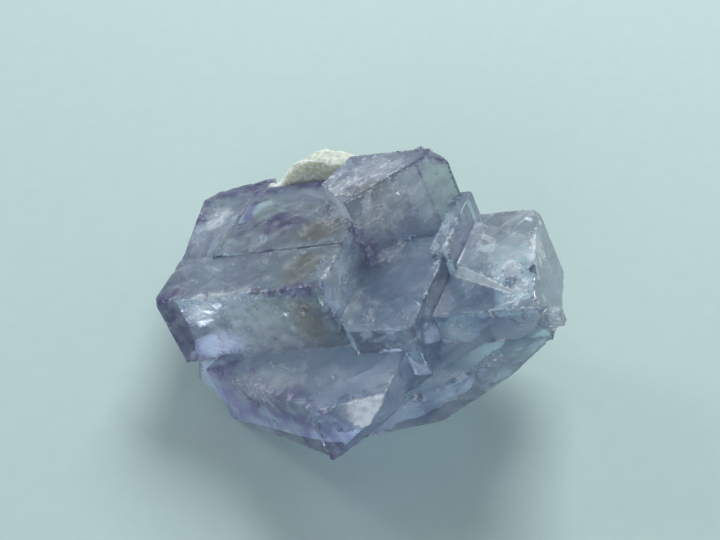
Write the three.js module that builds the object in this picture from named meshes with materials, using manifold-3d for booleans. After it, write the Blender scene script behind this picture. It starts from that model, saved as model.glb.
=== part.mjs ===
// Cubic fluorite cluster: lavender cubes grown into each other, a colourless cube at the right,
// and a remnant of cream matrix behind them. The piece is broken off flat below and rests on
// that break. Millimetres, +Z up, origin in the middle of the bottom of the bounding box.

import * as THREE from 'three';
import { ConvexGeometry } from 'three/addons/geometries/ConvexGeometry.js';
import { mergeVertices } from 'three/addons/utils/BufferGeometryUtils.js';
import Module from 'manifold-3d';

const wasm = await Module();
wasm.setup();

// Tilt of the crystal lattice that most of the cubes share, in degrees
const LATTICE_TURN = -17;
const LATTICE_LEAN = -23;
const LATTICE_PITCH = -4;

// Near top corner of the main cube, measured from the middle of the base
const NEAR_CORNER = new THREE.Vector3(-6.16, -10.11, 29);

// Heights of the cube tops along the lattice, measured from the top of the main cube
const UPPER_TOP = 3.8;
const TERRACE_TOP = 0.3;
const BACK_LEFT_TOP = -1.5;
const SLAB_TOP = -5.5;
const CENTRE_TOP = -7.3;
const CLEAR_TOP = -9.6;
const RIGHT_TOP = -10.8;
const LOWER_LEFT_TOP = -11.5;
const LOWER_RIGHT_TOP = -16.3;

// Rise of the growth step on the upper cube
const UPPER_STEP = 0.25;

// Terrace line and back face of the main cube along the lattice, and how far its two halves overlap
const TERRACE_FRONT = 10;
const MAIN_BACK = 28.1;
const TERRACE_OVERLAP = 0.3;

// Turns of the cubes that stand askew to the shared lattice, in degrees
const BACK_LEFT_SPIN = 12;
const UPPER_SPIN = 45.5;
const LOWER_LEFT_SPIN = -24;

// Planes that broke the clear cube and its foot alike: the sloping front and the right side
const CLEAR_SLOPE = [[0, -0.16, 1], [20, 14, CLEAR_TOP]];
const CLEAR_SIDE = [[0.98, 0.2, 0.03], [24, 27, CLEAR_TOP]];

// Cubes as [front left top corner], [width, length, height], turn about the lattice's own upright
// axis. The corner is in lattice millimetres: right, back and up from the main cube's near corner.
// Each break is a plane that took off what lies beyond it: [direction it faces], [point on it].
const CUBES = {
  mainFront: {
    corner: [-29.6, 0, 0],
    size: [29.6, TERRACE_FRONT + TERRACE_OVERLAP, 12.6],
    breaks: [
      [[-1, -0.7, 0.5], [-29.1, 0, 0]],
      [[0.6, -0.6, -0.5], [-0.8, 0, -12]],
    ],
  },
  mainBack: {
    corner: [-23.2, TERRACE_FRONT, TERRACE_TOP],
    size: [23.2, MAIN_BACK - TERRACE_FRONT, 16],
    breaks: [[[-1, 1, 0.4], [-22.6, MAIN_BACK, TERRACE_TOP]]],
  },
  backLeft: {
    corner: [-30.3, 8.6, BACK_LEFT_TOP],
    size: [13, 23, 13],
    spin: BACK_LEFT_SPIN,
    breaks: [[[-1, 1, 0.6], [-33.9, 30.4, BACK_LEFT_TOP]]],
  },
  upper: {
    corner: [0.3, 14.6, UPPER_TOP],
    size: [17.6, 14, 20],
    spin: UPPER_SPIN,
    breaks: [
      [[0.05, 1, 0], [4, 28, UPPER_TOP]],
      [[1, 0.3, 0.8], [10.6, 27, UPPER_TOP]],
      [[-1, 0.35, 0], [-6.2, 22, UPPER_TOP]],
    ],
  },
  upperStep: {
    corner: [1.5, 16.4, UPPER_TOP + UPPER_STEP],
    size: [13.5, 3.4, 2],
    spin: UPPER_SPIN,
  },
  slab: {
    corner: [10.9, 14.2, SLAB_TOP],
    size: [2.9, 14.4, 9],
    breaks: [[[1, 1, 1], [13.4, 28.6, SLAB_TOP]]],
  },
  centre: {
    corner: [-1, -2, CENTRE_TOP],
    size: [13.7, 22, 12],
    breaks: [[[-0.75, -0.66, 0], [2.4, -2, CENTRE_TOP]]],
  },
  clear: {
    corner: [12, 7, CLEAR_TOP],
    size: [16, 20.9, 13],
    breaks: [
      CLEAR_SLOPE,
      CLEAR_SIDE,
      [[-0.35, -0.68, 0.65], [14.2, 14.7, CLEAR_TOP]],
      [[1, 1, 0.8], [22.9, 27.9, CLEAR_TOP]],
      [[0.5, -0.5, -0.7], [26, 10, -17]],
    ],
  },
  clearFoot: {
    corner: [24.2, 4.9, CLEAR_TOP],
    size: [4.4, 10, 5],
    breaks: [CLEAR_SLOPE, CLEAR_SIDE],
  },
  right: {
    corner: [10, 4.6, RIGHT_TOP],
    size: [19.5, 12, 6.5],
    breaks: [[[0.8, 0.6, 0], [29.4, 6, RIGHT_TOP]]],
  },
  tab: {
    corner: [28.8, 4.9, -12],
    size: [3.2, 1.5, 2.9],
  },
  lowerLeft: {
    corner: [-24.1, -3.2, LOWER_LEFT_TOP],
    size: [25.1, 16, 10.3],
    spin: LOWER_LEFT_SPIN,
  },
  lowerMiddle: {
    corner: [-2.2, -17, LOWER_LEFT_TOP],
    size: [12.2, 18, 10.3],
    breaks: [
      [[-0.25, -0.97, 0], [5, -15.35, LOWER_LEFT_TOP]],
      [[0.14, -0.47, 0.87], [10.66, -10.86, LOWER_LEFT_TOP]],
      [[0.9, -0.4, -0.2], [10.66, -10.86, LOWER_LEFT_TOP]],
      [[0.45, -0.6, -0.66], [8.7, -15.1, -13.5]],
      [[0.51, -0.16, -0.85], [-1, -13.7, -21.7]],
    ],
  },
  lowerRight: {
    corner: [0, -14, LOWER_RIGHT_TOP],
    size: [29.7, 24, 7],
    breaks: [
      [[0.57, -0.82, 0.11], [16.81, -3.58, LOWER_RIGHT_TOP]],
      [[0.54, -0.15, -0.83], [23.79, 0.79, -19.8]],
      [[0.39, -0.27, -0.89], [14.52, -5.93, -21.77]],
      [[0.05, -0.52, -0.85], [9.16, -9.45, -20.2]],
    ],
  },
  between: {
    corner: [-17, 0.5, -8],
    size: [29, 18, 13],
  },
};

// Small chips along the edges, bitten out along the octahedral cleavage: [middle], reach
const CHIPS = [
  [[-20.2, 0, 0.2], 1.1],
  [[-18.6, -0.1, 0.3], 0.8],
  [[-11.5, 0, 0.3], 0.7],
  [[0.1, 4.2, 0.3], 0.7],
  [[0.2, 0.1, -6.2], 0.8],
  [[-23.4, 18.5, 0.6], 0.9],
  [[-9.2, 28.2, 0.5], 1],
  [[0.2, 14.7, 4.2], 1.3],
  [[6.2, 20.6, 4.4], 1],
  [[12.4, 14, -5.4], 1.2],
  [[13.9, 21.5, -5.3], 0.9],
  [[12.8, 5.8, -7.1], 0.7],
  [[12.7, -2.1, -7.2], 0.9],
  [[21.8, 4.5, -10.6], 0.9],
  [[26.4, 19.6, -9.4], 1.6],
  [[25.6, 23.3, -9.3], 1.2],
  [[27.1, 12.8, -9.9], 1],
  [[-14.6, -7.4, -11.3], 1],
  [[-6.4, -11.1, -11.3], 0.8],
  [[10.1, -6.2, -11.3], 0.9],
  [[12.1, -6.9, -16.1], 1.1],
  [[22.6, 0.5, -16.1], 1],
];

// Broken root under the cubes: corners inside them, in lattice millimetres, and the outline of
// the flat break, in millimetres from the middle of the base
const ROOT_TOP = [
  [-26, 3, -9],
  [-1, -9, -17],
  [14, -5, -18.5],
  [25, 6, -18.5],
  [23, 25, -14],
  [0, 26, -6],
  [-22, 26, -6],
  [-30, 28, -6],
];
const ROOT_BASE = [
  [-19.5, -10.5],
  [-6.5, -14.5],
  [4.5, -9.5],
  [14.5, 0.5],
  [17.5, 8.5],
  [10.5, 16.5],
  [-5.5, 20.5],
  [-19.5, 18.5],
  [-27.5, 9.5],
  [-26.5, -2.5],
];

// How far the root runs below the break before it is cut off there
const ROOT_OVERRUN = 1;

// Gap left between the matrix and the crystals, wider beside the sloping root
const MATRIX_GAP = 0.3;
const ROOT_GAP = 0.45;

// Matrix lump: middle, half sizes, fineness, and waves as [height, direction and closeness]
const MATRIX_CENTRE = [-4.06, 19.99, 10];
const MATRIX_HALF_SIZE = [14.4, 9.4, 16.2];
const MATRIX_DETAIL = 7;
const MATRIX_WAVES = [
  [0.06, 3.1, 1.2, -2.3],
  [0.05, -2.2, 4.1, 3.3],
  [0.03, 6.5, -3.2, 5.1],
  [0.02, -8.3, 7.7, 6.1],
];

// A block larger than the whole piece, to cut with
const FAR = 120;

// Distance below which two corners count as one
const SAME_POINT = 1e-4;

const DEGREE = Math.PI / 180;
const UP = new THREE.Vector3(0, 0, 1);

// The shared lattice as a turn of the upright axes
const latticeTurn = new THREE.Euler(
  LATTICE_PITCH * DEGREE,
  LATTICE_LEAN * DEGREE,
  LATTICE_TURN * DEGREE,
  'ZYX',
);
const lattice = new THREE.Matrix4().makeRotationFromEuler(latticeTurn).setPosition(NEAR_CORNER);

// A closed geometry as a solid that can be joined and cut
function solid(geometry) {
  geometry.deleteAttribute('normal');
  geometry.deleteAttribute('uv');
  const merged = mergeVertices(geometry, SAME_POINT);
  return new wasm.Manifold(new wasm.Mesh({
    numProp: 3,
    vertProperties: new Float32Array(merged.attributes.position.array),
    triVerts: new Uint32Array(merged.index.array),
  }));
}

// A solid back as a geometry with flat faces
function faceted(body) {
  const mesh = body.getMesh();
  const geometry = new THREE.BufferGeometry();
  geometry.setAttribute('position', new THREE.BufferAttribute(mesh.vertProperties, 3));
  geometry.setIndex(new THREE.BufferAttribute(mesh.triVerts, 1));
  return geometry;
}

// Several solids as one
function joined(bodies) {
  return bodies.reduce((whole, body) => whole.add(body));
}

// Everything beyond a plane, given in lattice directions and millimetres
function beyond([direction, point], margin) {
  const outward = new THREE.Vector3(...direction).normalize();
  const block = new THREE.BoxGeometry(FAR, FAR, FAR);
  block.translate(0, 0, FAR / 2 + margin);
  block.applyQuaternion(new THREE.Quaternion().setFromUnitVectors(UP, outward));
  block.translate(...point);
  return solid(block.applyMatrix4(lattice));
}

// One cube with its breaks, grown outward by a margin where a clearance is wanted
function cube({ corner, size, spin = 0, breaks = [] }, margin) {
  const [width, length, height] = size;
  const box = new THREE.BoxGeometry(width + 2 * margin, length + 2 * margin, height + 2 * margin);
  box.translate(width / 2, length / 2, -height / 2);
  box.rotateZ(spin * DEGREE);
  box.translate(...corner);
  let body = solid(box.applyMatrix4(lattice));
  for (const plane of breaks) {
    body = body.subtract(beyond(plane, margin));
  }
  return body;
}

// All the cubes, before the break below
function cubes(margin) {
  return joined(Object.values(CUBES).map((entry) => cube(entry, margin)));
}

// One chip: an octahedron that keeps to the lattice, so that its bite shows cleavage faces
function chip([middle, reach]) {
  const bite = new THREE.OctahedronGeometry(reach);
  bite.translate(...middle);
  return solid(bite.applyMatrix4(lattice));
}

// The root below the cubes, swollen sideways by a margin where a clearance is wanted
function root(margin) {
  const points = ROOT_BASE.map(([x, y]) => new THREE.Vector3(x, y, -ROOT_OVERRUN));
  for (const point of ROOT_TOP) {
    points.push(new THREE.Vector3(...point).applyMatrix4(lattice));
  }
  for (const point of points) {
    const sideways = new THREE.Vector3(point.x, point.y, 0).normalize();
    point.addScaledVector(sideways, margin);
  }
  return solid(new ConvexGeometry(points));
}

// Everything below the surface that the piece rests on
function belowRest() {
  const block = new THREE.BoxGeometry(FAR, FAR, FAR);
  block.translate(0, 0, -FAR / 2);
  return solid(block);
}

// The matrix lump: a ball pressed to the lump's size and made uneven by a few slow waves
function matrixLump() {
  const ball = new THREE.IcosahedronGeometry(1, MATRIX_DETAIL);
  const points = ball.attributes.position;
  const point = new THREE.Vector3();
  for (let i = 0; i < points.count; i += 1) {
    point.fromBufferAttribute(points, i);
    let swell = 1;
    for (const [height, ...wave] of MATRIX_WAVES) {
      swell += height * Math.sin(point.dot(new THREE.Vector3(...wave)) + wave[0]);
    }
    point.multiplyScalar(swell);
    points.setXYZ(i, point.x, point.y, point.z);
  }
  ball.scale(...MATRIX_HALF_SIZE);
  ball.translate(...MATRIX_CENTRE);
  return solid(ball);
}

// Fluorite: the cubes less their chips, with the root, cut off flat below
const crystals = cubes(0).subtract(joined(CHIPS.map(chip))).add(root(0)).subtract(belowRest());

// Matrix: the lump behind the main cube, cut clear of the crystals and flat below
const clearance = cubes(MATRIX_GAP).add(root(ROOT_GAP));
const mainBackPlane = [[0, -1, 0], [0, MAIN_BACK + MATRIX_GAP, 0]];
const inFrontOfMatrix = beyond(mainBackPlane, 0);
const matrix = matrixLump().subtract(clearance).subtract(inFrontOfMatrix).subtract(belowRest());

const fluorite = new THREE.Mesh(
  faceted(crystals),
  new THREE.MeshStandardMaterial({ color: 0x8d8fb4, roughness: 0.15, metalness: 0 }),
);
fluorite.name = 'fluorite_cluster';

const cream = new THREE.Mesh(
  faceted(matrix),
  new THREE.MeshStandardMaterial({ color: 0xd8d4c0, roughness: 0.85, metalness: 0 }),
);
cream.name = 'matrix_remnant';

const specimen = new THREE.Group();
specimen.add(fluorite, cream);

export default specimen;
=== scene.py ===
# %% [markdown]
# # A cluster of fluorite cubes
# Fluorite grows as cubes, and here a dozen of them have grown into each other: lavender and blue-grey
# ones, one colourless cube at the right, and a remnant of cream rock behind. The solids come from the
# packed model, which fixes every size. This lesson gives them what a plain solid lacks: worn edges,
# growth marks, colour zones, cracks inside the crystal, and light that passes through.

# %% Load the packed model
import math

import bmesh
import bpy
import numpy as np
from mathutils import Euler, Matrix, Vector, kdtree, noise
from mathutils.bvhtree import BVHTree


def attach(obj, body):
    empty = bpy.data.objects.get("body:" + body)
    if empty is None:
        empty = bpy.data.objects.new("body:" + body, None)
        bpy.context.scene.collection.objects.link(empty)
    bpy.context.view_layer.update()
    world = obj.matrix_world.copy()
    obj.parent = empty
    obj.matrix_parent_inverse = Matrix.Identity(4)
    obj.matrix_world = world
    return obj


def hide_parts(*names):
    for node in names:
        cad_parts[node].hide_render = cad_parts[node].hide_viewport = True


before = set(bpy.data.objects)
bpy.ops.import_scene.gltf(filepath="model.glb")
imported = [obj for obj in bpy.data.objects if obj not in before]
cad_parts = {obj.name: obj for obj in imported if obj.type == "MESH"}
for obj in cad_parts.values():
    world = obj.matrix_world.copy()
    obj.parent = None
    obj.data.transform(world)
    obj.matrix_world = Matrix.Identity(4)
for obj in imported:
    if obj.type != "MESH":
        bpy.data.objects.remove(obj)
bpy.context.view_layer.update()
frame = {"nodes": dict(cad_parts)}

MM = 0.001
print("nodes:", ", ".join(frame["nodes"]))

# %% [markdown]
# ## The crystal lattice
# All the cubes share one lattice, or are turned about its upright axis, so it is the natural ruler for
# this piece. A point in lattice millimetres is counted right, back and up from the near top corner of
# the main cube. With it, a colour zone or a crack can be placed on a cube as a mineral collector would
# describe it, and it stays there from every side.

# %% The lattice as a ruler
NEAR_CORNER = Vector((-6.16, -10.11, 29)) * MM
LATTICE_TURN = -17
LATTICE_LEAN = -23
LATTICE_PITCH = -4

lattice = Euler([math.radians(a) for a in (LATTICE_PITCH, LATTICE_LEAN, LATTICE_TURN)]).to_matrix()
RIGHT, BACK, UP = lattice.col


def from_lattice(point):
    """A point in lattice millimetres, as a place in the frame."""
    return NEAR_CORNER + lattice @ Vector(point) * MM


def to_lattice(places):
    """An array of places in the frame, in lattice millimetres."""
    return (places - np.array(NEAR_CORNER)) @ np.array(lattice) / MM


print("lattice axes:", [tuple(round(c, 3) for c in axis) for axis in (RIGHT, BACK, UP)])

# %% [markdown]
# ## The camera
# The camera looks down at the piece at 45 degrees. Its lens follows from two facts: how far away it is,
# and how many millimetres one pixel of the picture covers at the main cube's near corner.

# %% Place the camera
IMAGE_WIDTH = 720
PIXEL = 0.1446 * MM
CORNER_LEFT_OF_MIDDLE = 40
CORNER_BELOW_MIDDLE = 16
LOOK_DOWN = math.radians(45)
CAMERA_DISTANCE = 220 * MM
SENSOR_WIDTH = 36

camera_turn = Euler((math.pi / 2 - LOOK_DOWN, 0, 0)).to_matrix()
across, upward, toward = camera_turn.col
aim = NEAR_CORNER + PIXEL * (CORNER_LEFT_OF_MIDDLE * across + CORNER_BELOW_MIDDLE * upward)

camera = bpy.data.objects.new("camera", bpy.data.cameras.new("camera"))
camera.location = aim + CAMERA_DISTANCE * toward
camera.rotation_euler = camera_turn.to_euler()
camera.data.sensor_width = SENSOR_WIDTH
camera.data.lens = SENSOR_WIDTH * CAMERA_DISTANCE / (IMAGE_WIDTH * PIXEL)
camera.data.clip_start = 5 * MM
bpy.context.scene.collection.objects.link(camera)
bpy.context.scene.camera = camera
print("lens:", round(camera.data.lens, 1), "mm")

# %% [markdown]
# ## Shader sums
# A material is a net of nodes. Writing it as sums in Python keeps it readable: the small class below
# stands for one output socket, and each sum on it adds the Math node that works it out. Every other
# node comes from one method, `add`, which takes the node's type, its settings, and its sockets.

# %% A material written as sums
class Wire:
    """One output socket of a material. Sums on it add Math nodes."""

    def __init__(self, finish, socket):
        self.finish = finish
        self.socket = socket

    def sum(self, operation, first, second):
        return self.finish.add("Math", {"operation": operation}, {0: first, 1: second})

    def __add__(self, other):
        return self.sum("ADD", self, other)

    def __sub__(self, other):
        return self.sum("SUBTRACT", self, other)

    def __rsub__(self, other):
        return self.sum("SUBTRACT", other, self)

    def __mul__(self, other):
        return self.sum("MULTIPLY", self, other)

    __radd__ = __add__
    __rmul__ = __mul__


class Finish:
    """A material under construction."""

    def __init__(self, name):
        self.material = bpy.data.materials.new(name)
        self.material.use_nodes = True
        self.tree = self.material.node_tree
        self.tree.nodes.clear()

    def add(self, kind, settings=None, sockets=None, output=0):
        """A node of a type, with its settings made first and then its sockets given values or wires."""
        node = self.tree.nodes.new("ShaderNode" + kind)
        for name, value in (settings or {}).items():
            setattr(node, name, value)
        for name, value in (sockets or {}).items():
            if isinstance(value, Wire):
                self.tree.links.new(value.socket, node.inputs[name])
            else:
                node.inputs[name].default_value = value
        return Wire(self, node.outputs[output]) if node.outputs else node

    def mix(self, first, second, share):
        """Two colours mixed by a share of the second."""
        first, second = [c if isinstance(c, Wire) else (*c, 1) for c in (first, second)]
        return self.add("Mix", {"data_type": "RGBA"}, {0: share, 6: first, 7: second}, output=2)

    def attribute(self, name):
        """A number that was stored on the mesh, point by point."""
        return self.add("Attribute", {"attribute_name": name}, output="Fac")

    def cloud(self, scale, detail=4, place=None):
        """Smooth noise from 0 to 1, counted per metre."""
        place = place or self.add("TexCoord", output="Object")
        return self.add("TexNoise", {}, {"Vector": place, "Scale": scale, "Detail": detail})

    def between(self, value, low, high):
        """0 where a value is under low, 1 over high, and a smooth rise between."""
        sockets = {"Value": value, "From Min": low, "From Max": high}
        return self.add("MapRange", {"interpolation_type": "SMOOTHSTEP"}, sockets)

    def done(self, surface, volume=None):
        """The finished material, with its surface and what fills it wired to the output."""
        wires = {"Surface": surface}
        if volume:
            wires["Volume"] = volume
        self.add("OutputMaterial", {}, wires)
        return self.material


print("a finish can add:", ", ".join(name for name in vars(Finish) if not name.startswith("_")))

# %% [markdown]
# ## The fluorite's skin
# The solid's faces are perfectly flat and its edges perfectly sharp. On the real crystals the faces
# are a little uneven from growth, the edges are worn and nicked, and the broken faces are rough. All
# three need points on the faces to move, so the mesh is copied and its long edges are split until
# every triangle is small. Splitting keeps flat faces flat and edges where they are, which a remesh
# would not.

# %% Split the faces into small triangles
LONGEST_EDGE = 0.75 * MM
ROUNDS_OF_SPLITS = 8
SAME_POINT = 0.002 * MM
FLAT = math.radians(1)


def fine_copy(node, longest):
    """The node's mesh, with its edges halved, round by round, while they are longer than asked."""
    fine = bmesh.new()
    fine.from_mesh(frame["nodes"][node].data)
    bmesh.ops.remove_doubles(fine, verts=fine.verts, dist=SAME_POINT)
    bmesh.ops.dissolve_limit(fine, angle_limit=FLAT, verts=fine.verts, edges=fine.edges)
    bmesh.ops.triangulate(fine, faces=fine.faces)
    for _ in range(ROUNDS_OF_SPLITS):
        too_long = [e for e in fine.edges if e.calc_length() > longest]
        bmesh.ops.subdivide_edges(fine, edges=too_long, cuts=1)
        bmesh.ops.triangulate(fine, faces=[f for f in fine.faces if len(f.verts) > 3])
    fine.normal_update()
    return fine


skin = fine_copy("fluorite_cluster", LONGEST_EDGE)
print("fluorite skin:", len(skin.faces), "triangles")

# %% [markdown]
# A few things are measured at each point: where it is in lattice millimetres, which way it faces, and
# how far it is from the nearest outward edge and from the nearest seam, where two cubes meet. They
# steer the wear, the colours, and the painted shade along the seams.

# %% Measure the skin
EDGE_ANGLE = math.radians(20)

skin.verts.ensure_lookup_table()
points = np.array([v.co for v in skin.verts])
spots = to_lattice(points)
sharp_edges = [e for e in skin.edges if e.calc_face_angle(0) > EDGE_ANGLE]
worn_points = {v.index for e in sharp_edges if e.is_convex for v in e.verts}
seam_points = {v.index for e in sharp_edges if not e.is_convex for v in e.verts}


def distance_to(indices):
    """For each point of the skin, the distance to the nearest of some of its points."""
    tree = kdtree.KDTree(len(indices))
    for index in sorted(indices):
        tree.insert(skin.verts[index].co, index)
    tree.balance()
    return np.array([tree.find(v.co)[2] for v in skin.verts]) / MM


edge_distance = distance_to(worn_points)
seam_distance = distance_to(seam_points)
normals = np.array([v.normal for v in skin.verts])
facings = normals @ np.array(lattice)
print("edge points:", len(worn_points), "seam points:", len(seam_points))

# %% [markdown]
# The wear is done by moving each point inward. Edge points move in a little everywhere and deep at
# nicks. Grown faces get a faint parquet, blocks along the lattice that stand a hair higher or lower
# than the next. Broken faces go down in steps, as fluorite splits in flat flakes. Inward only, because
# a worn crystal has lost material and never gains any. The flat break below stays.

# %% Wear the edges and roughen the faces
GROWN_UPRIGHT = 0.06
GROWN_FACE = 0.995
WEAR_DEPTH = 0.05
NICK_DEPTH = 0.9
NICK_SPACING = 1.3
GROWTH_DEPTH = 0.08
GROWTH_SPACING = 7
PARQUET_DEPTH = 0.05
PARQUET_BLOCK = Vector((6.3, 4.7, 5.5))
BREAK_DEPTH = 0.25
BREAK_SPACING = 3
BREAK_STEPS = 5
REST_MARGIN = 0.3 * MM


def is_broken(face):
    """True for a face that lies neither across nor along the lattice's upright axis."""
    lean = abs(face.normal.dot(UP))
    return GROWN_UPRIGHT < lean < GROWN_FACE


def swell(spot, spacing):
    """Smooth noise from 0 to 1, one bump in each spacing."""
    return 0.5 + 0.5 * noise.noise(Vector(spot) / spacing)


def steps(height, count):
    """A height from 0 to 1, cut down to a few levels."""
    return round(count * height) / count


def block_height(spot):
    """The height of the parquet block that a spot lies in, from 0 to 1."""
    return 0.5 + 0.5 * noise.cell(Vector([c / size for c, size in zip(spot, PARQUET_BLOCK)]))


broken_faces = {f.index for f in skin.faces if is_broken(f)}
broken = np.array([
    sum(f.index in broken_faces for f in v.link_faces) / len(v.link_faces) for v in skin.verts
])
for v, spot, broken_share in zip(skin.verts, spots, broken):
    depth = GROWTH_DEPTH * swell(spot, GROWTH_SPACING)
    depth += PARQUET_DEPTH * block_height(spot) * (1 - broken_share)
    depth += BREAK_DEPTH * broken_share * steps(swell(spot, BREAK_SPACING), BREAK_STEPS)
    if v.index in worn_points:
        depth += WEAR_DEPTH + NICK_DEPTH * max(0, noise.noise(Vector(spot) / NICK_SPACING)) ** 2
    if v.co.z > REST_MARGIN:
        v.co -= v.normal * depth * MM
print("broken faces:", len(broken_faces), "of", len(skin.faces))

# %% [markdown]
# ## Colour zones
# Fluorite takes up its colour in zones, layer by layer as it grows. Here purple gathers along the outer
# edges and in a few patches, two cubes are a darker steel blue, brown stains sit near the main cube's
# corner, one cube has no colour at all, and some places are frosted or milky with fine cracks. Two of
# the white places are painted sheen instead, where a face reflects the light. A zone could be painted
# by hand on the mesh, but a list can be read and changed. So each zone is written as a soft-edged
# ellipsoid: its middle, and how far it reaches, both in lattice millimetres. Two broken facets are
# painted white too, as painted highlights where they catch the light, each given by the way it faces
# and a point on it.

# %% Lay out the zones
PURPLE_ZONES = [
    ((-29.5, 0, -5), (5, 5, 10)),
    ((-14.2, 16.9, 0), (4.4, 3, 3)),
    ((-15, 27.6, 0), (10, 2, 3)),
    ((-21, 21, 0), (1.6, 6, 3)),
    ((-4, 0, 0), (8, 1.2, 1.6)),
    ((-33.5, 20, -2), (2.6, 9, 5)),
    ((-29, 31.5, -2), (8, 2.6, 5)),
    ((1.5, 13.5, -2), (1.8, 3, 7)),
    ((-20, -5, -13), (6, 5, 6)),
    ((-12, -11, -14), (10, 4, 6)),
    ((-16, -8, -17), (7, 4, 4)),
    ((-21, -5, -18), (5, 5, 5)),
    ((-6, -13, -17), (6, 4, 4)),
    ((-2, -15, -18), (7, 4, 6)),
    ((10.5, 27, 3), (2.6, 1.4, 2)),
]
STEEL_ZONES = [
    ((6, 7, -6), (7, 11, 3)),
    ((18.5, 8.5, -10.8), (9, 6, 2.4)),
    ((21, 4.6, -12.6), (7, 2, 3)),
    ((13, 1, -13), (1.6, 7, 6)),
    ((17, -4, -16), (8, 4, 2)),
    ((13, -7, -19), (3.4, 2, 2)),
    ((12.7, 7, -9), (1, 9, 3)),
    ((4, -13.5, -14), (5, 3.5, 4)),
]
BROWN_ZONES = [
    ((-5.3, 4.9, 0), (2.8, 4.6, 2)),
    ((-4.6, 0, -6), (2.6, 2, 5)),
    ((-5.5, 14, 0), (4, 3, 2)),
    ((5, 18, 3.8), (6, 2, 2.4)),
]
COLOURLESS_ZONES = [
    ((21, 21.5, -12), (8.5, 10, 9)),
    ((30.5, 5.6, -13), (3, 2.5, 3)),
    ((4, 18, 0), (6, 5, 4.6)),
]
FROST_AND_SHEEN_ZONES = [
    ((-3.4, 19, 1.4), (4, 5, 3)),
    ((22.6, 12.6, -9.9), (2.4, 2.2, 1.4)),
    ((25, 8.6, -10.4), (2, 2.8, 1.4)),
    ((13.2, 13.4, -5.8), (2, 1.6, 2)),
    ((26.2, 20, -10.2), (1.6, 6, 3)),
    # painted reflection: the window's soft light on the top of the cube at the back left, laid on as
    # frost
    ((-29.1, 23.4, -0.6), (2.6, 3.8, 1.5)),
    ((-19, 0, 0), (5, 0.8, 0.8)),
    ((2.6, 16.6, -7.3), (2.6, 2.6, 0.8)),
]
# Painted highlights: two broken facets that catch the light, laid on as white
HIGHLIGHT_FACETS = [
    ((0.14, -0.47, 0.87), (10.66, -10.86, -11.5)),
    ((-0.35, -0.68, 0.65), (14.2, 14.7, -9.6)),
]
HAZE_AND_SHEEN_ZONES = [
    # painted sheen: the soft highlight at the left of the main cube's front, laid on as haze
    ((-22, 0, -3.6), (4, 1.5, 4)),
    ((16, 4.6, -14.6), (3.6, 1.5, 2.4)),
    ((-13, 0, -7), (11, 2, 7)),
    ((-12, -7, -12), (9, 4, 3)),
    ((2, 23, 3.8), (6, 5, 1.4)),
    ((6, 17, -1), (9, 8, 6)),
    ((0, 6, -4), (1.5, 6, 4)),
]
zone_lists = [PURPLE_ZONES, STEEL_ZONES, BROWN_ZONES, COLOURLESS_ZONES, FROST_AND_SHEEN_ZONES, HAZE_AND_SHEEN_ZONES]
print("zones:", sum(map(len, zone_lists)), "and", len(HIGHLIGHT_FACETS), "frosted facets")

# %% Find what lies in a zone
FACET_REACH = 0.3
FACET_FACING = 0.9


def in_zones(zones):
    """For each point, how deep it lies in the nearest of some zones, from 0 to 1."""
    depth = np.zeros(len(spots))
    for middle, reach in zones:
        away = np.linalg.norm((spots - middle) / reach, axis=1)
        depth = np.maximum(depth, np.exp(-away ** 2))
    return depth


def on_facets(facets):
    """1 at each point that lies on one of some broken facets, given by direction and a point on it."""
    found = np.zeros(len(spots))
    for direction, point in facets:
        direction = np.array(direction) / np.linalg.norm(direction)
        near = np.abs((spots - point) @ direction) < FACET_REACH
        found[near & (facings @ direction > FACET_FACING)] = 1
    return found


print("points on frosted facets:", int(on_facets(HIGHLIGHT_FACETS).sum()))

# %% [markdown]
# The zones are broken up by noise, so that none of them shows its plain outline. Three helpers do it:
# one makes the noise, one turns a slow rise into a clear one, and one makes zones uneven with both.

# %% Noise on the skin
CLOUD_ROUGHNESS = 1
CLOUD_STEP = 2
CLOUD_LAYERS = 4


def cloudy(spacing):
    """Noise from 0 to 1 at each point, with finer noise on top of it."""
    layers = (CLOUD_ROUGHNESS, CLOUD_STEP, CLOUD_LAYERS)
    values = [noise.fractal(Vector(spot) / spacing, *layers) for spot in spots]
    return np.clip(0.5 + 0.5 * np.array(values), 0, 1)


def rise(values, low, high):
    """0 where a value is under low, 1 over high, and a smooth rise between."""
    share = np.clip((values - low) / (high - low), 0, 1)
    return share * share * (3 - 2 * share)


def uneven(zones, cloud, least):
    """The depth in some zones, times least where a noise is 0 and as much above 1 where it is 1."""
    return in_zones(zones) * (least + 2 * (1 - least) * cloud)


RAGGED_SPACING = 1.8
GLINT_SPACING = 0.9

ragged = cloudy(RAGGED_SPACING)
patches = rise(ragged, low=0.35, high=0.65)
painted_glints = rise(cloudy(GLINT_SPACING), low=0.35, high=0.65)
near_edge = np.exp(-edge_distance)
print("patches cover", round(100 * float(patches.mean()), 1), "percent")

# %% [markdown]
# The frost and sheen is the share of white surface at a point: partly real frost, partly painted
# sheen and highlights. It gathers in the frosted zones, one of which is a painted reflection of the
# window, is painted as a highlight with glints on the two broken facets, brighter towards the right,
# lies as a thin haze in the hazy zones, one of which is a painted sheen, and drifts in faint veils over
# all the faces. The steel blue cubes are clearer, so there it is thinned.

# %% Where the surface is milky, and where sheen is painted
FACET_DULL = 3
FACET_BRIGHT = 7
FACET_HIGHLIGHT = 0.5
GLINT_SHARE = 0.45
FROST_AND_SHEEN_MILK = 0.65
HAZE_AND_SHEEN_MILK = 0.4
VEIL_MILK = 0.2
VEIL_SPACING = 2.2
STEEL_CLEARS = 0.7
MOST_MILK = 0.9

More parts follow.
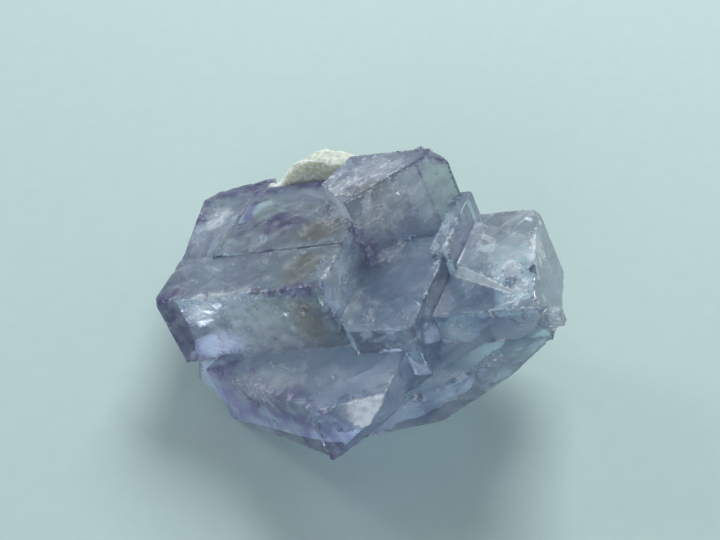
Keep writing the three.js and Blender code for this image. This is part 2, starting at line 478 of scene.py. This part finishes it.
# painted highlight: the two broken facets turn white where they catch the light, brighter towards the
# right, with painted glints
facets = on_facets(HIGHLIGHT_FACETS) * rise(spots[:, 0], low=FACET_DULL, high=FACET_BRIGHT)
steel = in_zones(STEEL_ZONES) * (1 - facets)
milk = FROST_AND_SHEEN_MILK * rise(uneven(FROST_AND_SHEEN_ZONES, ragged, least=0.3), low=0.2, high=0.85)
milk = np.maximum(milk, facets * (FACET_HIGHLIGHT + GLINT_SHARE * painted_glints))
milk += HAZE_AND_SHEEN_MILK * rise(uneven(HAZE_AND_SHEEN_ZONES, ragged, least=0.5), low=0.1, high=1.1)
milk += VEIL_MILK * rise(cloudy(VEIL_SPACING), low=0.4, high=0.9)
milk = np.clip(milk * (1 - STEEL_CLEARS * steel), 0, MOST_MILK)
print("mean milk:", round(float(milk.mean()), 2))

# %% [markdown]
# The other looks follow in the same way. Purple also lines the edges, bruises gather at edges and in
# frosted places, the seams between the cubes get painted shade, a dark lining where shade falls in
# the creases, and the broken underside is dull. All of them are kept as attributes, one number at each
# point of the mesh, where the material can read them.

# %% Gather the looks
SEAM_WIDTH = 0.5
LAVENDER_SPACING = 15
EDGE_PURPLE = 0.2
EDGE_BRUISE = 0.6
RAGGED_BRUISE = 0.6
HAZE_BRUISE = 0.3
SHOWN = 0.4

colourless = rise(in_zones(COLOURLESS_ZONES), low=0.35, high=0.7)
purple = uneven(PURPLE_ZONES, patches, least=0.4) + EDGE_PURPLE * near_edge
bruised = EDGE_BRUISE * near_edge + RAGGED_BRUISE * ragged
bruised += in_zones(FROST_AND_SHEEN_ZONES) + HAZE_BRUISE * in_zones(HAZE_AND_SHEEN_ZONES)
looks = {
    "lavender": rise(cloudy(LAVENDER_SPACING), low=0.3, high=0.7),
    "purple": rise(purple, low=0.15, high=0.9) * (1 - colourless),
    "steel": steel,
    "brown": rise(uneven(BROWN_ZONES, ragged, least=0.6), low=0.15, high=0.75),
    "colourless": colourless,
    "milk": milk,
    "bruised": rise(bruised, low=0.5, high=1.1),
    "broken": broken,
    # painted shade: a dark lining along the seams where two cubes meet, as shade falls in the creases
    "seam": np.exp(-seam_distance / SEAM_WIDTH) * ragged,
    "underside": broken * rise(-normals[:, 2], low=0, high=0.3),
}
for name, strength in looks.items():
    print(name, "covers", round(100 * float((strength > SHOWN).mean()), 1), "percent")

# %% [markdown]
# Faces are shaded smooth within a face and sharp across an edge, so that the growth unevenness bends
# the reflections and the edges stay crisp.

# %% Make the skin an object
CREASE = math.radians(28)


def as_piece(fine, name, node):
    """A mesh as a new piece, attached to the root body, that stands in for a node and hides it, if one
    is given.
    """
    mesh = bpy.data.meshes.new(name)
    fine.to_mesh(mesh)
    fine.free()
    mesh.shade_smooth()
    mesh.set_sharp_from_angle(angle=CREASE)
    piece = bpy.data.objects.new(name, mesh)
    bpy.context.scene.collection.objects.link(piece)
    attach(piece, "root")
    if node:
        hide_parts(node)
    return piece


inside_test = BVHTree.FromBMesh(skin)
fluorite = as_piece(skin, "fluorite_crystals", "fluorite_cluster")
for name, strength in looks.items():
    layer = fluorite.data.attributes.new(name, "FLOAT", "POINT")
    layer.data.foreach_set("value", strength.astype(np.float32))
print("attributes:", ", ".join(looks))

# %% [markdown]
# ## The fluorite itself
# The crystal is see-through, and its colour could sit in the volume or on the surface. A volume that
# changes from place to place is slow to render, so the inside only dims the light evenly, and the
# surface carries the rest: the colour zones tint the light that crosses it. The colours are laid over
# each other in turn, each by the share that its attribute gives, and a fine mottling comes last.

# %% Colours of the fluorite
BLUE_GREY = (0.70, 0.86, 0.89)
LAVENDER = (0.70, 0.76, 0.90)
STEEL_BLUE = (0.14, 0.23, 0.38)
DEEP_PURPLE = (0.22, 0.15, 0.42)
BROWN = (0.60, 0.54, 0.38)
MOTTLE = (0.50, 0.52, 0.72)
SEAM_SHADE = (0.12, 0.10, 0.24)
COLOURLESS = (0.90, 0.95, 0.96)
STEEL_SHARE = 0.9
MOTTLE_SHARE = 0.28
MOTTLE_SCALE = 1300

gem = Finish("lavender_fluorite")
colour = gem.mix(BLUE_GREY, LAVENDER, gem.attribute("lavender"))
colour = gem.mix(colour, STEEL_BLUE, gem.attribute("steel") * STEEL_SHARE)
colour = gem.mix(colour, BROWN, gem.attribute("brown"))
colour = gem.mix(colour, COLOURLESS, gem.attribute("colourless"))
colour = gem.mix(colour, DEEP_PURPLE, gem.attribute("purple"))
# painted shade: darker along the seams where two cubes meet
colour = gem.mix(colour, SEAM_SHADE, gem.attribute("seam"))
mottle = gem.between(gem.cloud(MOTTLE_SCALE, detail=3), low=0.35, high=0.65)
colour = gem.mix(colour, MOTTLE, mottle * MOTTLE_SHARE)
print("colour nodes:", len(gem.tree.nodes))

# %% [markdown]
# White specks mark the places where the surface is bruised, and a little grit and some hairline
# scratches lie on every face. All of them are finer than the mesh, so they are drawn by textures. The
# specks are square cells along the lattice, and a scratch is noise drawn out along one direction.

# %% Specks, grit and scratches
SPECK_SCALE = 2200
SPECK_SHARE = 0.6
GRIT_SCALE = 2600
GRIT_SHARE = 0.1
DRAWN_OUT = (0.06, 1, 1)
LINE_CORE = 0.001
LINE_RIM = 0.009
SCRATCH_SHARE = 0.10
COLOURLESS_SCRATCH_SHARE = 0.18

along_lattice = gem.add("VectorRotate", {"rotation_type": "EULER_XYZ", "invert": True}, {
    "Vector": gem.add("TexCoord", output="Object"),
    "Rotation": lattice.to_euler(),
})


def cells(scale):
    """A colour for each small block along the lattice, read as a number."""
    sockets = {"Vector": along_lattice, "Scale": scale}
    return gem.add("TexVoronoi", {"distance": "CHEBYCHEV"}, sockets, output="Color")


def hairlines(turn, scale):
    """Thin lines in one direction, 1 on the line."""
    sockets = {"Vector": along_lattice, "Angle": turn}
    turned = gem.add("VectorRotate", {"rotation_type": "Z_AXIS"}, sockets)
    drawn_out = gem.add("VectorMath", {"operation": "MULTIPLY"}, {0: turned, 1: DRAWN_OUT})
    wave = gem.cloud(scale, detail=2, place=drawn_out) - 0.5
    from_line = gem.add("Math", {"operation": "ABSOLUTE"}, {0: wave})
    return 1 - gem.between(from_line, low=LINE_CORE, high=LINE_RIM)


specks = gem.between(cells(SPECK_SCALE), low=0.66, high=0.74) * gem.attribute("bruised")
grit = gem.between(gem.cloud(GRIT_SCALE, detail=2), low=0.4, high=0.7)
scratches = hairlines(turn=0.5, scale=230) + hairlines(turn=-0.9, scale=300)
scratch_share = SCRATCH_SHARE + COLOURLESS_SCRATCH_SHARE * gem.attribute("colourless")
marks = SPECK_SHARE * specks + GRIT_SHARE * grit + scratches * scratch_share
print("with marks:", len(gem.tree.nodes))

# %% [markdown]
# Two shaders make the surface. The body lets most of the light through. It bends light less than glass
# does, with an index of refraction of 1.434, and its polish is dulled by fine grain, on breaks and on
# the underside. The frost is whiter and rougher, crushed into small blocks, and lets less light
# through; it also carries the painted highlights and sheen. A Mix Shader chooses between them by the
# frost and sheen and the marks. Inside, plain absorption dims the light towards lavender.

# %% Mix the fluorite's two shaders
FLUORITE_IOR = 1.434
FROST_AND_SHEEN_WHITE = (0.88, 0.92, 0.95)
FROST_TINT = 0.3
BODY_TINT = (0.66, 0.74, 0.84, 1)
BODY_DENSITY = 30
FINE_GRAIN_SCALE = 1700
CRUSH_SCALE = 900
POLISH = 0.03
GRAIN_DULLS = 0.08
BREAK_DULLS = 0.12
UNDERSIDE_DULLS = 0.4
MOST_FROST = 0.9

fine_grain = gem.cloud(FINE_GRAIN_SCALE, detail=2)
bump = gem.add("Bump", {}, {"Height": fine_grain, "Strength": 0.12, "Distance": 0.1 * MM})
dullness = POLISH + GRAIN_DULLS * fine_grain + BREAK_DULLS * gem.attribute("broken")
dullness = dullness + UNDERSIDE_DULLS * gem.attribute("underside")
body = gem.add("BsdfPrincipled", {}, {
    "Base Color": colour,
    "Roughness": dullness,
    "Normal": bump,
    "IOR": FLUORITE_IOR,
    "Transmission Weight": 0.88,
})
crush_bump = gem.add("Bump", {}, {"Height": cells(CRUSH_SCALE), "Strength": 0.4, "Distance": 0.3 * MM})
frost_and_sheen_shader = gem.add("BsdfPrincipled", {}, {
    "Base Color": gem.mix(FROST_AND_SHEEN_WHITE, colour, FROST_TINT),
    "Roughness": 0.25,
    "Normal": crush_bump,
    "IOR": FLUORITE_IOR,
    "Transmission Weight": 0.35,
})
frost_and_sheen_share = gem.add("Clamp", {}, {"Value": gem.attribute("milk") + marks, "Max": MOST_FROST})
surface = gem.add("MixShader", {}, {0: frost_and_sheen_share, 1: body, 2: frost_and_sheen_shader})
absorption = gem.add("VolumeAbsorption", {}, {"Color": BODY_TINT, "Density": BODY_DENSITY})
fluorite.data.materials.append(gem.done(surface, absorption))
print("fluorite finish:", len(gem.tree.nodes), "nodes")

# %% [markdown]
# ## Cracks inside
# What makes a natural crystal look natural is inside it: thin cracks that flash white from one side
# and vanish from another. A crack is a film of air. Each one is modelled as that, a lens-shaped gap
# with a ragged rim and walls that face into the gap, so the same index of refraction makes it mirror
# light as the real one does. Most follow the octahedral cleavage, the way in which fluorite splits. A
# crack must stay inside the crystal, so there is a test for that first: a line from a place inside
# crosses the skin an odd number of times.

# %% Test what is inside
SKIN_MARGIN = 0.2 * MM
PAST_SKIN = 0.001 * MM


def is_inside(place):
    """True if a place is inside the crystal, and not just under its skin."""
    if inside_test.find_nearest(place)[3] < SKIN_MARGIN:
        return False
    crossings = 0
    hit = inside_test.ray_cast(place, UP)[0]
    while hit is not None:
        crossings += 1
        hit = inside_test.ray_cast(hit + UP * PAST_SKIN, UP)[0]
    return crossings % 2 == 1


print("main cube's near corner, 4 mm in, is inside:", is_inside(from_lattice((-4, 4, -4))))

# %% Shape one crack
CRACK_GAP = 0.05
CRACK_SPOKES = 26
CRACK_RINGS = 5
CRACK_RAGGED = 0.7
CRACK_LOBES = 4.3
CRACK_WAVE = 0.16
CRACK_WAVES = 2


def crack_points(middle, facing, size):
    """Both walls of a lens-shaped gap, as rings of points from the middle out, in the frame."""
    turn = Vector(facing).to_track_quat("Z", "Y")
    walls = []
    for side in (1, -1):
        for ring in range(CRACK_RINGS + 1):
            share = ring / CRACK_RINGS
            for spoke in range(CRACK_SPOKES):
                angle = 2 * math.pi * spoke / CRACK_SPOKES
                rim = Vector((math.cos(angle), math.sin(angle), 0))
                reach = share * (1 + CRACK_RAGGED * noise.noise(CRACK_LOBES * rim + middle))
                flat = Vector((rim.x * size[0], rim.y * size[1], 0)) * reach
                flat.z = CRACK_WAVE * min(size) * noise.noise(flat * CRACK_WAVES / min(size) + middle)
                flat.z += side * CRACK_GAP / 2 * (1 - share ** 2)
                walls.append(from_lattice(middle + turn @ flat))
    return walls


print("points in a crack:", len(crack_points(Vector(), (0, 0, 1), (1, 1))))

# %% Fit a crack into the crystal
SHRINK = 0.8
SMALLEST_SHRINK = 0.3


def add_crack(cracks, middle, facing, size):
    """Adds a crack to a mesh, made smaller until it fits inside the crystal. Says whether it did."""
    middle = Vector(middle)
    shrunk = 1
    walls = crack_points(middle, facing, size)
    while not all(is_inside(place) for place in walls):
        shrunk *= SHRINK
        if shrunk < SMALLEST_SHRINK:
            return False
        walls = crack_points(middle, facing, [shrunk * length for length in size])
    corners = [cracks.verts.new(place) for place in walls]
    for wall, flip in ((0, -1), (1, 1)):
        first = wall * len(walls) // 2
        for ring in range(CRACK_RINGS):
            for spoke in range(CRACK_SPOKES):
                after = (spoke + 1) % CRACK_SPOKES
                inner = first + ring * CRACK_SPOKES
                outer = inner + CRACK_SPOKES
                face = [inner + spoke, outer + spoke, outer + after, inner + after]
                cracks.faces.new([corners[index] for index in face][::flip])
    return True


print("a crack is made smaller up to", int(math.log(SMALLEST_SHRINK, SHRINK)), "times")

# %% [markdown]
# The large cracks are listed one by one, where the crystals flash white: the middle of each, the way it
# faces, and its two half-widths. Small ones scatter around them by chance, near one of the four
# cleavage directions. The chance starts from a fixed seed, so every run gives the same cracks.

# %% Place the cracks
CLEAVAGES = [(1, -1, 1), (-1, -1, 1), (1, 1, 1), (-1, 1, 1)]
LARGE_CRACKS = [
    ((-21.6, 3.2, -3.6), (0.3, -0.36, 0.88), (2.2, 1.4)),
    ((-24.6, 3.6, -5.6), (0.42, -0.25, 0.87), (2.2, 1.6)),
    ((-12, 4, -6), CLEAVAGES[0], (5.5, 3.2)),
    ((-8, 12, -5), (-1, 0.6, 0.7), (5, 2)),
    ((-20, 1.6, -1.4), (0, -1, 1), (3.4, 1)),
    ((-14, 16.5, -2.4), CLEAVAGES[0], (3.4, 2)),
    ((-2.4, 6, -4), (1, 0, 0.3), (4.4, 3.6)),
    ((-17, 22, -4), CLEAVAGES[3], (5, 3.4)),
    ((-29, 22, -4), CLEAVAGES[0], (4, 3)),
    ((8, 20, -1), (1, -1, 0.2), (5, 4)),
    ((5, 22, 1), CLEAVAGES[1], (4.6, 2.8)),
    ((0, 20, 0.5), CLEAVAGES[1], (3, 2.4)),
    ((12.2, 16.4, -6.8), (0, -1, 1), (1.3, 1.1)),
    ((6, 6, -9.6), CLEAVAGES[0], (4.4, 3)),
    ((4, 1.4, -9), CLEAVAGES[1], (3, 2)),
    ((20, 20, -12), CLEAVAGES[0], (5, 3.4)),
    ((23, 13, -12), CLEAVAGES[1], (3.6, 2.6)),
    ((17, 22, -11.4), CLEAVAGES[2], (3.4, 2)),
    ((25, 21, -12.6), (1, 0.2, 0.6), (4, 2.2)),
    ((16, 6.6, -13.6), CLEAVAGES[0], (3.2, 2)),
    ((-10, -4, -14), CLEAVAGES[0], (5, 3)),
    ((-15, -5, -15), CLEAVAGES[1], (4, 2.6)),
    ((0, -9, -14), CLEAVAGES[0], (5, 2.8)),
    ((5, -12, -14.6), (0.6, -0.75, 0.3), (4, 2.2)),
    ((3, -13, -17), CLEAVAGES[1], (3.6, 2.2)),
    ((14, -4, -18.6), CLEAVAGES[0], (4.6, 1.8)),
    ((20, -1, -18.4), CLEAVAGES[1], (4, 1.6)),
]
SMALL_CRACKS = 260
SMALLEST_CRACK = 0.4
LARGEST_SMALL_CRACK = 1.5
CRACK_SCATTER = 3.5
CLEAVAGE_SPREAD = 0.25
SMALL_CRACK_SHAPE = 0.6
SEED = 11

cracks = bmesh.new()
made = [add_crack(cracks, middle, facing, size) for middle, facing, size in LARGE_CRACKS]
chance = np.random.default_rng(SEED)
for _ in range(SMALL_CRACKS):
    home, _, _ = LARGE_CRACKS[chance.integers(len(LARGE_CRACKS))]
    cleavage = Vector(CLEAVAGES[chance.integers(len(CLEAVAGES))])
    facing = cleavage + Vector(chance.normal(0, CLEAVAGE_SPREAD, 3))
    reach = chance.uniform(SMALLEST_CRACK, LARGEST_SMALL_CRACK)
    middle = chance.normal(home, CRACK_SCATTER)
    made.append(add_crack(cracks, middle, facing, (reach, SMALL_CRACK_SHAPE * reach)))
bmesh.ops.remove_doubles(cracks, verts=cracks.verts, dist=PAST_SKIN)
inner_cracks = as_piece(cracks, "inner_cracks", None)
print("cracks:", sum(made), "of", len(made), "fit, with", len(inner_cracks.data.polygons), "faces")

# %% [markdown]
# A perfectly smooth crack would flash like a mirror. The real walls are torn and uneven, so a crack
# shows as a soft white veil. The finish is fully see-through, with walls that are dull, a little
# more so in some places, and bumped by the same noise.

# %% Finish of the cracks
VEIL_BLUE = (0.92, 0.95, 1.0)
VEIL_WHITE = (1, 1, 1)
CRACK_SCALE = 700
CRACK_DULL = 0.4
CRACK_DULLER = 0.2

veil = Finish("air_in_cracks")
crack_cloud = veil.cloud(CRACK_SCALE, detail=5)
crack_bump = veil.add("Bump", {}, {"Height": crack_cloud, "Strength": 0.2, "Distance": 0.1 * MM})
crack_surface = veil.add("BsdfPrincipled", {}, {
    "Base Color": veil.mix(VEIL_BLUE, VEIL_WHITE, crack_cloud),
    "Roughness": CRACK_DULL + CRACK_DULLER * veil.between(crack_cloud, low=0.4, high=0.8),
    "Normal": crack_bump,
    "IOR": FLUORITE_IOR,
    "Transmission Weight": 1.0,
})
inner_cracks.data.materials.append(veil.done(crack_surface))
print("crack finish:", len(veil.tree.nodes), "nodes")

# %% [markdown]
# ## The matrix
# The rock behind the main cube is cream-white and sugary, a mass of tiny grains. Its solid is a smooth
# lump, so its copy is split finely and each point is moved inward by noise at two scales: hollows a few
# millimetres wide, and grains under a millimetre. A bump in the material alone would leave the outline
# smooth. Two rounds of smoothing then take off the spikes.

# %% Roughen the matrix
MATRIX_EDGE = 0.55 * MM
HOLLOW_DEPTH = 1.4
HOLLOW_SPACING = 2.8
GRAIN_DEPTH = 0.4
GRAIN_SPACING = 0.9
ROUNDS_OF_SMOOTHING = 2
SMOOTHING = 0.5
ALL_WAYS = {"use_axis_x": True, "use_axis_y": True, "use_axis_z": True}

rock = fine_copy("matrix_remnant", MATRIX_EDGE)
for v in rock.verts:
    spot = v.co / MM
    depth = HOLLOW_DEPTH * swell(spot, HOLLOW_SPACING) ** 2
    depth += GRAIN_DEPTH * swell(spot, GRAIN_SPACING)
    if v.co.z > REST_MARGIN:
        v.co -= v.normal * depth * MM
above_rest = [v for v in rock.verts if v.co.z > REST_MARGIN]
for _ in range(ROUNDS_OF_SMOOTHING):
    bmesh.ops.smooth_vert(rock, verts=above_rest, factor=SMOOTHING, **ALL_WAYS)
matrix = as_piece(rock, "matrix_rock", "matrix_remnant")
print("matrix:", len(matrix.data.polygons), "triangles")

# %% [markdown]
# The grains are cream to chalk white, with a few rusty stains. Light goes a few millimetres into such
# rock and comes out again nearby, which softens its shadows. Subsurface scattering in the shader does
# that without a volume.

# %% Finish of the matrix
CREAM = (0.44, 0.47, 0.38)
CHALK = (0.62, 0.67, 0.62)
RUST = (0.44, 0.40, 0.30)
RUST_SHARE = 0.45
SUGAR_SCALE = 1500
STAIN_SCALE = 190
ROCK_DULL = 0.6
SUGAR_DULLS = 0.3
ROCK_DEPTH = 4 * MM

stone = Finish("cream_matrix")
sugar = stone.cloud(SUGAR_SCALE)
stain = stone.between(stone.cloud(STAIN_SCALE), low=0.52, high=0.72)
rock_colour = stone.mix(CREAM, CHALK, stone.between(sugar, low=0.35, high=0.65))
rock_colour = stone.mix(rock_colour, RUST, stain * RUST_SHARE)
rock_bump = stone.add("Bump", {}, {"Height": sugar, "Strength": 0.7, "Distance": 0.25 * MM})
rock_surface = stone.add("BsdfPrincipled", {}, {
    "Base Color": rock_colour,
    "Roughness": ROCK_DULL + SUGAR_DULLS * sugar,
    "Normal": rock_bump,
    "Subsurface Weight": 0.8,
    "Subsurface Radius": (1, 0.95, 0.8),
    "Subsurface Scale": ROCK_DEPTH,
})
matrix.data.materials.append(stone.done(rock_surface))
print("matrix finish:", len(stone.tree.nodes), "nodes")

# %% [markdown]
# ## Floor and light
# The piece stands on a plain pale surface. A single wide square is enough, a hair below the piece, with
# a colour that hardly changes. It is no part of the piece.

# %% Floor
FLOOR_SIZE = 1.2
FLOOR_DROP = 0.05 * MM
FLOOR_COLOUR = (0.45, 0.57, 0.555)
FLOOR_DARKER = (0.42, 0.535, 0.52)
FLOOR_SCALE = 300

half = FLOOR_SIZE / 2
corners = [(x * half, y * half, -FLOOR_DROP) for x, y in ((-1, -1), (1, -1), (1, 1), (-1, 1))]
floor_mesh = bpy.data.meshes.new("floor")
floor_mesh.from_pydata(corners, [], [(0, 1, 2, 3)])
floor = bpy.data.objects.new("floor", floor_mesh)
bpy.context.scene.collection.objects.link(floor)
ground = Finish("pale_floor")
floor_colour = ground.mix(FLOOR_COLOUR, FLOOR_DARKER, ground.cloud(FLOOR_SCALE, detail=3))
floor_surface = ground.add("BsdfPrincipled", {}, {"Base Color": floor_colour, "Roughness": 0.8})
floor_mesh.materials.append(ground.done(floor_surface))
print("floor:", FLOOR_SIZE, "m")

# %% [markdown]
# The light is soft daylight: a wide lamp like a window from behind and above, two weaker ones from the
# left and the front, and a pale sky all around. It leaves a soft shadow on the near side. Each lamp is
# given by its place, size, power and colour, and aimed at the piece.

# %% Light
SKY = (0.86, 0.93, 1.0)
SKY_STRENGTH = 0.38
LAMPS = {
    "window": ((0.12, 0.40, 0.46), 0.30, 3.2, (0.97, 1.0, 1.0)),
    "side": ((-0.40, 0.25, 0.40), 0.15, 0.5, (0.92, 0.96, 1.0)),
    "fill": ((-0.15, -0.50, 0.25), 0.30, 0.8, (0.95, 0.98, 1.0)),
}

world = bpy.data.worlds.new("sky")
world.use_nodes = True
background = world.node_tree.nodes["Background"]
background.inputs["Color"].default_value = (*SKY, 1)
background.inputs["Strength"].default_value = SKY_STRENGTH
bpy.context.scene.world = world
bpy.context.scene.view_settings.view_transform = "Standard"
for name, (place, size, power, tint) in LAMPS.items():
    lamp = bpy.data.lights.new(name, "AREA")
    lamp.size = size
    lamp.energy = power
    lamp.color = tint
    holder = bpy.data.objects.new(name, lamp)
    holder.location = place
    holder.rotation_euler = (Vector(place) - aim).to_track_quat("Z", "Y").to_euler()
    bpy.context.scene.collection.objects.link(holder)
print("lamps:", ", ".join(LAMPS))

# %% [markdown]
# The looks may not change the size of the piece.
